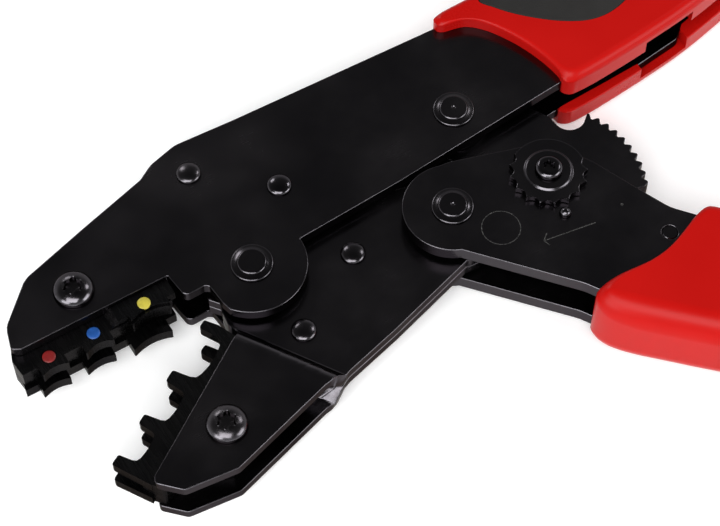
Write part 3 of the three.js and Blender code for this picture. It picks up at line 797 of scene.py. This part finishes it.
for label, body, centre, radii in (
    ("main_washer", "frame", MAIN, (PIN_HOLE, 8.0)),
    ("link_washer", "frame", ANCHOR, (ANCHOR_HOLE, 7.2)),
    ("handle_washer", "handle", HANDLE, (PIN_HOLE, 7.5)),
    ("adjuster_washer", "handle", ADJUSTER, (ECCENTRIC_HOLE, 6.8)),
):
    for side, _ in SIDES:
        node = f"{label}_{side}"
        ring(f"my_{node}", body, centre, radii, heights_of(node), node)


# ---- Plates -------------------------------------------------------------------------------------

for side, sign in SIDES:
    heights = [sign * z for z in FRAME_PLATE]
    holes = [
        circle(MAIN, PIN_HOLE),
        circle(ANCHOR, ANCHOR_HOLE),
        circle(DIE_SCREWS["upper"], SCREW_HOLE),
        *[circle(centre, RIVET_HOLE, 32) for centre in FRAME_RIVETS.values()],
    ]
    name = f"frame_plate_{side}"
    steel_piece(plate(f"my_{name}", [FRAME_OUTLINE, *holes], heights), "frame", name)

    heights = [sign * z for z in HANDLE_PLATE]
    holes = [circle(HANDLE, PIN_HOLE), circle(ADJUSTER, ECCENTRIC_HOLE), circle(PAWL, PAWL_HOLE, 32)]
    if sign > 0:
        holes.append(circle(LOCK_PIN, LOCK_HOLE, 24))
    name = f"handle_plate_{side}"
    steel_piece(plate(f"my_{name}", [HANDLE_OUTLINE, *holes], heights), "handle", name)

# The jaw plates are drawn flat and then bent up at a line square to this direction.
BEND_DIRECTION = 213.5
BEND_START = 12.1
BEND_SLOPE = math.radians(56)
BEND_RADIUS = 1.8
BEND_ARC = BEND_RADIUS * BEND_SLOPE
BEND_RUN = (JAW_RAISE - 2 * BEND_RADIUS * (1 - math.cos(BEND_SLOPE))) / math.sin(BEND_SLOPE)
BEND_LENGTH = 2 * BEND_ARC + BEND_RUN
BEND_SPAN = 2 * BEND_RADIUS * math.sin(BEND_SLOPE) + BEND_RUN * math.cos(BEND_SLOPE)
BEND_GROWTH = BEND_LENGTH - BEND_SPAN


def unfolded(points):
    """Moves the jaw end of an outline outwards by what the bend takes up."""
    direction = Vector((math.cos(math.radians(BEND_DIRECTION)), math.sin(math.radians(BEND_DIRECTION))))
    result = []
    for p in points:
        u = direction.dot(p[:2])
        grown = BEND_GROWTH * min(1, max(0, (u - BEND_START) / BEND_SPAN))
        moved = Vector(p[:2]) + direction * grown
        result.append((moved.x, moved.y, *p[2:]))
    return result


def bent_point(s, height):
    """The place of a point of the flat plate after bending, as a distance and a height."""
    along = s - BEND_START
    u, z, angle = BEND_START, 0.0, 0.0
    for length, turn in ((BEND_ARC, 1), (BEND_RUN, 0), (BEND_ARC, -1)):
        part = min(max(along, 0), length)
        if turn:
            end = angle + turn * part / BEND_RADIUS
            u += turn * BEND_RADIUS * (math.sin(end) - math.sin(angle))
            z += turn * BEND_RADIUS * (math.cos(angle) - math.cos(end))
            angle = end
        else:
            u += part * math.cos(angle)
            z += part * math.sin(angle)
        along -= length
    if along > 0:
        u += along
    if s < BEND_START:
        u = s
    return u - height * math.sin(angle), z + height * math.cos(angle)


def bent_plate(name, outlines, sign):
    """A plate of the moving jaw: cut across at the bend, then folded."""
    half = LEVER_THICKNESS / 2
    vertices, faces = stacked(outlines, edge_rings(-half, half, PLATE_EDGE, PLATE_EDGE))
    piece = new_piece(name, vertices, faces, lift=0)
    direction = Vector(
        (math.cos(math.radians(BEND_DIRECTION)), math.sin(math.radians(BEND_DIRECTION)), 0)
    )
    work = bmesh.new()
    work.from_mesh(piece.data)
    steps = 5
    cuts = [BEND_START + BEND_ARC * i / steps for i in range(steps + 1)]
    cuts += [BEND_START + BEND_ARC + BEND_RUN + BEND_ARC * i / steps for i in range(steps + 1)]
    for s in cuts:
        everything = work.verts[:] + work.edges[:] + work.faces[:]
        bmesh.ops.bisect_plane(
            work, geom=everything, dist=1e-8, plane_co=direction * s * MM, plane_no=direction
        )
    level = LEVER_FLAT[0] + half
    for vertex in work.verts:
        s = direction.dot(vertex.co) / MM
        u, z = bent_point(s, vertex.co.z / MM)
        vertex.co += direction * (u - s) * MM
        vertex.co.z = (MID_Z + sign * (level + z)) * MM
    bmesh.ops.recalc_face_normals(work, faces=work.faces)
    work.to_mesh(piece.data)
    work.free()
    finish_shading(piece.data)
    return piece


LEVER_OUTLINE = filleted(
    unfolded(
        [
            (-10.1, -11.7, 0.4),
            (-37.6, -30.1, 0.6),
            (-38.2, -31.5, 1.0),
            (-34.2, -35.5, 1.5),
            (-23.4, -36.7, 2.0),
            (-1.2, -30.1, 1.2),
            (1.1, -29.9, 1.5),
            (5.2, -28.2, 6),
            (17.5, -25.0, 20),
            *arc(HANDLE, HUB_RADIUS, -105, 77),
            *arc(MAIN, HUB_RADIUS, 77, 176),
            (-10.4, -0.7, 0.6),
            (-8.7, -2.9, 0.6),
            (-9.4, -4.6, 0.6),
            (-9.6, -11.2, 0.3),
        ]
    )
)
for side, sign in SIDES:
    holes = [
        circle(MAIN, PIN_HOLE),
        circle(HANDLE, PIN_HOLE),
        *[circle(centre, RIVET_HOLE, 32) for centre in LEVER_RIVETS.values()],
        unfolded(circle(DIE_SCREWS["lower"], SCREW_HOLE)),
    ]
    name = f"lever_plate_{side}"
    steel_piece(bent_plate(f"my_{name}", [LEVER_OUTLINE, *holes], sign), "lever", name)


# ---- Dies ---------------------------------------------------------------------------------------


def eased(node, material, width):
    """A CAD node shown as it is, with its edges broken by a small bevel."""
    piece = frame["nodes"][node]
    bevel = piece.modifiers.new("edges", "BEVEL")
    bevel.width = width * MM
    bevel.segments = 2
    bevel.limit_method = "ANGLE"
    bevel.angle_limit = math.radians(25)
    bevel.use_clamp_overlap = True
    piece.data.materials.clear()
    piece.data.materials.append(material)
    piece.data.shade_smooth()
    piece.data.set_sharp_from_angle(angle=math.radians(30))
    return piece


DIE_EDGE = 0.12
eased("upper_die", DIE_STEEL, DIE_EDGE)
eased("lower_die", DIE_STEEL, DIE_EDGE)

DOT_RADIUS = 1.3

for colour, shade in DOT_COLOURS.items():
    node = f"size_dot_{colour}"
    low, high = heights_of(node)
    profile = [(DOT_RADIUS, low), (DOT_RADIUS, high - 0.12), (1.18, high - 0.04)]
    profile += [(0.8, high), (0.1, high)]
    dressed(
        lofted(f"my_{node}", round_loops(centre_of(node), profile, 40)),
        enamel(f"dot_{colour}", shade), "frame", f"dot_{colour}", node,
    )  # fmt: skip


# ---- Grips --------------------------------------------------------------------------------------


def inward(loop, distances):
    """Moves each point of an anticlockwise loop to its left by its own distance."""
    moved = []
    for i, (x, y) in enumerate(loop):
        before, after = loop[i - 1], loop[(i + 1) % len(loop)]
        along = Vector((after[0] - before[0], after[1] - before[1])).normalized()
        moved.append((x - along.y * distances[i], y + along.x * distances[i]))
    return moved


def rounded_over(loop, radii, level, sign, steps=8):
    """Loops from an upright wall over its rounded edge to a flat face."""
    loops, inset = [], 0.0
    for step in range(steps + 1):
        a = math.pi / 2 * step / steps
        if step:
            rise = (1 - math.cos(a)) - inset
            inset += rise
            loop = relaxed(inward(loop, [radius * rise for radius in radii]), 3)
        heights = [level - sign * radius * (1 - math.sin(a)) for radius in radii]
        loops.append([(x, y, z) for (x, y), z in zip(loop, heights)])
    return loops


def moulded(name, outline, levels, low_radius):
    """A moulded shell between two levels; low_radius gives the lower edge's radius from the upper's."""
    curve = anticlockwise(smooth_curve(outline))
    radii = [point[2] for point in curve]
    top_loops = rounded_over([point[:2] for point in curve], radii, levels[1], 1)
    low_radii = [low_radius(radius) for radius in radii]
    bottom_loops = rounded_over([point[:2] for point in curve], low_radii, levels[0], -1)
    return lofted(name, bottom_loops[::-1] + top_loops, MOULDED_SHARP)


def flip(piece):
    """Turns a piece over, from the front of the middle plane to the rear."""
    for vertex in piece.data.vertices:
        vertex.co.z = 2 * MID_Z * MM - vertex.co.z
    piece.data.flip_normals()
    finish_shading(piece.data, MOULDED_SHARP)


def cutter(outline, heights):
    bottom, top = sorted(heights)
    return new_piece("cutter", *stacked([anticlockwise(outline)], [(0, bottom), (0, top)]))


def grown(outline, margin):
    """The outline moved outwards by a margin."""
    return offset(anticlockwise(outline), -margin)


FIT = 0.08  # the gap between a grip and the plate inside it
RECESS_DEPTH = 0.9
RECESS_GAP = 0.12
INLAY_LEVELS = (GRIP_TOP - 0.85, GRIP_TOP - 0.06)
WINDOW = [(96, 0), (109, 0), (109, 10.4), (96, 7.4)]
INLAY_CURVE = anticlockwise(smooth_curve(INLAY))

for side, sign in SIDES:
    name = f"upper_grip_{side}"
    shell = moulded(f"my_{name}", UPPER_GRIP, (GRIP_INNER, GRIP_TOP), lambda radius: 0.3)
    if sign < 0:
        flip(shell)
    tray = sign * (FRAME_PLATE[1] + FIT)
    recess = (sign * (GRIP_TOP - RECESS_DEPTH), sign * (GRIP_TOP + 1))
    carved(
        shell,
        [
            cutter(grown(FRAME_OUTLINE, FIT), (0, tray)),
            cutter(WINDOW, (0, tray)),
            cutter(grown(INLAY_CURVE, RECESS_GAP), recess),
        ],
    )
    dressed(shell, RED, "frame", "red_plastic", name)

    name = f"grip_inlay_{side}"
    heights = sorted(sign * level for level in INLAY_LEVELS)
    edges = (0.1, 0.35) if sign > 0 else (0.35, 0.1)
    inlay = new_piece(f"my_{name}", *stacked([INLAY_CURVE], edge_rings(*heights, *edges)))
    dressed(inlay, INLAY_RUBBER, "frame", "soft_inlay", name)

grip = moulded("my_lower_grip", LOWER_GRIP, (-GRIP_TOP, GRIP_TOP), lambda radius: min(5.2, 1.5 * radius))
plate_slots = [
    cutter(
        grown(HANDLE_OUTLINE, FIT),
        (sign * (HANDLE_PLATE[0] - FIT), sign * (HANDLE_PLATE[1] + FIT)),
    )
    for _, sign in SIDES
]
relief = placed([(0, -16), (36, -16), (36, 8), (0, 8)], GRIP_DIRECTION, ADJUSTER)
carved(grip, [*plate_slots, cutter(relief, (-HANDLE_PLATE[0], HANDLE_PLATE[0]))])
dressed(grip, RED, "handle", "red_plastic", "lower_grip")


# ---- Ratchet and adjuster -----------------------------------------------------------------------

LINK_ANCHOR_HOLE = 5.15  # wide, because the linkage is opened at this pivot
TOOTH_COUNT = 10
TOOTH_TIP = 20.6
TOOTH_ROOT = 19.65
TOOTH_PITCH = 6.43
FIRST_TOOTH = 31.4


def toothed_outline():
    """The toothed link, with its teeth on an arc about the adjuster."""
    teeth = []
    for i in range(TOOTH_COUNT):
        angle = FIRST_TOOTH - i * TOOTH_PITCH
        if i:
            teeth += arc(ADJUSTER, TOOTH_ROOT, angle + 3.7, angle + 2.7, 0.5)
            teeth += arc(ADJUSTER, TOOTH_ROOT + 0.3, angle + 2.1, angle + 2.1)[:1]
        teeth += arc(ADJUSTER, TOOTH_TIP - 0.12, angle + 0.85, angle + 0.85)[:1]
        teeth += arc(ADJUSTER, TOOTH_TIP, angle + 0.4, angle - 0.4, 0.4)
        teeth += arc(ADJUSTER, TOOTH_TIP - 0.12, angle - 0.85, angle - 0.85)[:1]
        if i < TOOTH_COUNT - 1:
            teeth += arc(ADJUSTER, TOOTH_ROOT + 0.3, angle - 2.1, angle - 2.1)[:1]
    return filleted(
        [
            *arc(ANCHOR, 8, 205, 20),
            (68.0, 5.5, 4),
            (70.4, 1.5, 1),
            *arc((73.9, -0.6), 3.3, 190, 315),
            *teeth,
            (77.6, -22.5, 0.4),
            (75.3, -22.1, 0.6),
            *arc(ADJUSTER, 8, -75, -200),
        ]
    )


link = plate(
    "my_toothed_link",
    [toothed_outline(), circle(ADJUSTER, ECCENTRIC_HOLE), circle(ANCHOR, LINK_ANCHOR_HOLE)],
    (-LINK_HALF, LINK_HALF),
    0.15,
)
steel_piece(link, "link", "toothed_link")

PAWL_TIP = arc(ADJUSTER, TOOTH_TIP + 0.55, -41, -41)[0]
pawl_outline = filleted(
    [
        *arc(PAWL, 3.55, 150, 390, 8),
        (PAWL_TIP[0] + 0.85, PAWL_TIP[1] + 0.1, 0.25),
        (PAWL_TIP[0] - 0.2, PAWL_TIP[1] - 0.3, 0.25),
    ]
)
pawl_half = LINK_HALF - 0.1
pawl = plate("my_pawl", [pawl_outline, circle(PAWL, PAWL_HOLE, 32)], (-pawl_half, pawl_half))
steel_piece(pawl, "pawl", "pawl")

low, high = heights_of("pawl_pin")
pin_ends = [(1.42, low), (PAWL_PIN_RADIUS, low + 0.1), (PAWL_PIN_RADIUS, high - 0.1)]
pin_ends += [(1.42, high), (0.1, high)]
steel_piece(
    lofted("my_pawl_pin", round_loops(PAWL, [(0.1, low), *pin_ends], 40)),
    "handle", "pawl_pin", material=PIN_STEEL,
)  # fmt: skip

SPRING_WIRE = 0.2
SPRING_RADIUS = 2.35
SPRING_TURNS = 3.25
SPRING_STEPS = 104
low, high = heights_of("pawl_spring")
coil = []
for i in range(SPRING_STEPS + 1):
    a = 2 * math.pi * SPRING_TURNS * i / SPRING_STEPS
    rise = low + SPRING_WIRE + (high - low - 2 * SPRING_WIRE) * i / SPRING_STEPS
    coil.append((PAWL[0] + SPRING_RADIUS * math.cos(a), PAWL[1] + SPRING_RADIUS * math.sin(a), rise))
steel_piece(tube("my_pawl_spring", coil, SPRING_WIRE), "handle", "pawl_spring", material=PIN_STEEL)

# The star wheel: scallops from the first tip round to the last, and a plain arc over the rest.
FIRST_TIP, LAST_TIP, NOTCHES = 117.0, 353.0, 11
WHEEL_RADIUS = 7.9
ADJUSTER_BORE = 1.5  # in the star wheel and the eccentric pin, for the screw


def wheel_rim(angle):
    """The star wheel's radius at an angle."""
    turned = math.degrees(angle) % 360
    if not FIRST_TIP <= turned <= LAST_TIP:
        return WHEEL_RADIUS - 0.3
    part = (turned - FIRST_TIP) / (LAST_TIP - FIRST_TIP) * NOTCHES % 1
    return WHEEL_RADIUS - 0.95 * max(0.0, math.sin(math.pi * part)) ** 0.8


wheel_low, wheel_high = heights_of("star_wheel")
web = wheel_high - 0.4
wheel_profile = [
    (ADJUSTER_BORE, wheel_low),
    (lambda a: wheel_rim(a) - 0.15, wheel_low),
    (wheel_rim, wheel_low + 0.15),
    (wheel_rim, web - 0.22),
    (lambda a: wheel_rim(a) - 0.08, web - 0.06),
    (lambda a: wheel_rim(a) - 0.25, web),
    (5.0, web),
    (4.85, web + 0.04),
    (4.6, wheel_high - 0.12),
    (4.45, wheel_high - 0.02),
    (4.3, wheel_high),
    (3.1, wheel_high),
    (ADJUSTER_BORE, wheel_high - 0.05),
]
wheel = lofted("my_star_wheel", round_loops(ADJUSTER, wheel_profile, 288), math.radians(28))
bore = cutter(circle(ADJUSTER, ADJUSTER_BORE), (wheel_low - 1, wheel_high + 1))
carved(wheel, [bore])
steel_piece(wheel, "adjuster", "star_wheel")

rear, front = heights_of("eccentric_pin")
eccentric_profile = [(0.3, rear), (4.7, rear), (5.0, rear + 0.12), (5.15, rear + 0.4)]
eccentric_profile += [(5.2, rear + 1.1), (ECCENTRIC_RADIUS, rear + 1.2)]
eccentric_profile += [(ECCENTRIC_RADIUS, front - 0.1), (3.8, front)]
eccentric_profile += [(1.55, front), (ADJUSTER_BORE, front - 0.05), (ADJUSTER_BORE, 1.0), (0.2, 1.0)]
steel_piece(
    lofted("my_eccentric_pin", round_loops(ADJUSTER, eccentric_profile)),
    "adjuster", "eccentric_pin", material=PIN_STEEL,
)  # fmt: skip

ADJUSTER_HEAD_RADIUS = 2.75
low, high = heights_of("adjuster_screw")
seat = high - 1.3
screw_profile = [(0.5, low), (1.3, low + 0.3), (1.3, seat), (2.65, seat)]
screw_profile += [(ADJUSTER_HEAD_RADIUS, seat + 0.1), (ADJUSTER_HEAD_RADIUS, seat + 0.35)]
screw_profile += [(1.75 + math.cos(a), seat + 0.35 + 0.93 * math.sin(a)) for a in pan_angles(6)]
screw_profile += [(1.45, high - 0.01), (star(1.12), high - 0.02), (star(1.06), high - 0.12)]
screw_profile += [(star(1.0), high - 0.9), (0.2, high - 1.0)]
steel_piece(
    lofted("my_adjuster_screw", round_loops(ADJUSTER, screw_profile, 72), CRISP),
    "adjuster", "adjuster_screw", material=PIN_STEEL,
)  # fmt: skip

LOCK_HEAD_RADIUS = 1.15
low, high = heights_of("lock_pin")
lock_seat = HANDLE_PLATE[1] + 0.08
lock_profile = [(0.2, low), (0.9, low), (0.9, lock_seat), (1.1, lock_seat)]
lock_profile += [(LOCK_HEAD_RADIUS, lock_seat + 0.06), (LOCK_HEAD_RADIUS, lock_seat + 0.5)]
lock_profile += [
    (LOCK_HEAD_RADIUS * math.cos(a), lock_seat + 0.5 + (high - lock_seat - 0.5) * math.sin(a))
    for a in dome_angles(7)[1:]
]
steel_piece(
    lofted("my_lock_pin", round_loops(LOCK_PIN, lock_profile, 40)),
    "handle", "lock_pin", material=PIN_STEEL,
)  # fmt: skip


# ---- Etched marks on the moving handle ----------------------------------------------------------

MARK_HEIGHTS = (HANDLE_PLATE[1] + 0.004, HANDLE_PLATE[1] + 0.02)


def etched(name, outlines):
    bottom, top = MARK_HEIGHTS
    piece = new_piece(name, *stacked(outlines, [(0, bottom), (0, top)]))
    return dressed(piece, MARK, "handle", "black_steel")


RING_CENTRE = (45.5, -18.4)
RING_RADII = (3.9, 3.74)
etched("etched_ring", [circle(RING_CENTRE, radius, 64) for radius in RING_RADII])
etched("etched_dot", [circle((68.8, -26.1), 0.3, 16)])


def stroke(start, end, width=0.2):
    """The outline of a thin straight line."""
    along = Vector((end[0] - start[0], end[1] - start[1])).normalized() * width / 2
    corners = ((start, -1), (end, -1), (end, 1), (start, 1))
    return [(p[0] - k * along.y, p[1] + k * along.x) for p, k in corners]


ARROW_TIP = (51.0, -25.2)
etched("etched_arrow_shaft", [stroke((62.0, -26.9), ARROW_TIP)])
etched("etched_arrow_barb_upper", [stroke((52.5, -24.0), ARROW_TIP)])
etched("etched_arrow_barb_lower", [stroke((51.5, -26.6), ARROW_TIP)])


# ---- Stage --------------------------------------------------------------------------------------

VIEW_AZIMUTH = math.radians(31)
VIEW_ELEVATION = math.radians(59.2)
VIEW_DISTANCE = 420
VIEW_CENTRE = (19.9, -7.5)
LENS = 106.5
FLOOR_SIZE = 6.0


def add_camera():
    look = Vector(
        (
            math.sin(VIEW_AZIMUTH) * math.cos(VIEW_ELEVATION),
            math.cos(VIEW_AZIMUTH) * math.cos(VIEW_ELEVATION),
            -math.sin(VIEW_ELEVATION),
        )
    )
    target = Vector((*VIEW_CENTRE, MID_Z)) * MM
    data = bpy.data.cameras.new("camera")
    data.lens = LENS
    data.sensor_width = 36
    data.clip_start = 0.01
    camera = bpy.data.objects.new("camera", data)
    camera.location = target - look * VIEW_DISTANCE * MM
    camera.rotation_euler = look.to_track_quat("-Z", "Y").to_euler()
    bpy.context.scene.collection.objects.link(camera)
    bpy.context.scene.camera = camera


def add_floor():
    nodes = Nodes("floor")
    speck = nodes.noise(300.0, 3.0)
    nodes.set(
        Base_Color=nodes.ramp(speck, [(0.3, (0.93, 0.93, 0.93)), (0.7, (0.95, 0.95, 0.95))]),
        Roughness=0.75,
        Emission_Color=(1.0, 1.0, 1.0, 1.0),
        Emission_Strength=0.15,
    )
    half = FLOOR_SIZE / 2
    mesh = bpy.data.meshes.new("floor")
    level = cad_box[0][2]
    corners = [(-half, -half, level), (half, -half, level), (half, half, level), (-half, half, level)]
    mesh.from_pydata(corners, [], [(0, 1, 2, 3)])
    mesh.materials.append(nodes.material)
    floor = bpy.data.objects.new("floor", mesh)
    bpy.context.scene.collection.objects.link(floor)


def add_softbox(name, place, size, power):
    """A soft area light that faces the main pivot."""
    data = bpy.data.lights.new(name, "AREA")
    data.shape = "RECTANGLE"
    data.size, data.size_y = size
    data.energy = power
    light = bpy.data.objects.new(name, data)
    light.location = place
    light.rotation_euler = (-Vector(place)).to_track_quat("-Z", "Y").to_euler()
    bpy.context.scene.collection.objects.link(light)


def add_world():
    """A dark ceiling above a bright horizon, so that level steel stays black and edges catch light."""
    world = bpy.data.worlds.new("studio")
    world.use_nodes = True
    tree = world.node_tree
    coordinates = tree.nodes.new("ShaderNodeTexCoord")
    split = tree.nodes.new("ShaderNodeSeparateXYZ")
    ramp = tree.nodes.new("ShaderNodeValToRGB")
    stops = [(0.0, 0.8), (0.35, 0.6), (0.62, 0.14), (1.0, 0.05)]
    while len(ramp.color_ramp.elements) < len(stops):
        ramp.color_ramp.elements.new(0.5)
    for element, (position, level) in zip(ramp.color_ramp.elements, stops):
        element.position = position
        element.color = (level, level, level, 1)
    tree.links.new(coordinates.outputs["Generated"], split.inputs[0])
    tree.links.new(split.outputs["Z"], ramp.inputs[0])
    background = tree.nodes["Background"]
    tree.links.new(ramp.outputs[0], background.inputs[0])
    background.inputs[1].default_value = 1.0
    bpy.context.scene.world = world


add_camera()
add_floor()
add_softbox("softbox_key", (-0.9, -1.0, 1.9), (1.8, 1.2), 46)
add_softbox("softbox_left", (-1.3, -0.5, 0.7), (0.9, 0.7), 11)
add_softbox("softbox_right", (1.0, -1.2, 0.8), (1.0, 0.8), 12)
add_softbox("softbox_far_left", (0.03, 1.2, 0.87), (0.35, 0.35), 2.5)
add_softbox("softbox_far_right", (1.1, 0.15, 1.02), (0.35, 0.35), 2.5)
add_world()
bpy.context.scene.view_settings.view_transform = "Standard"
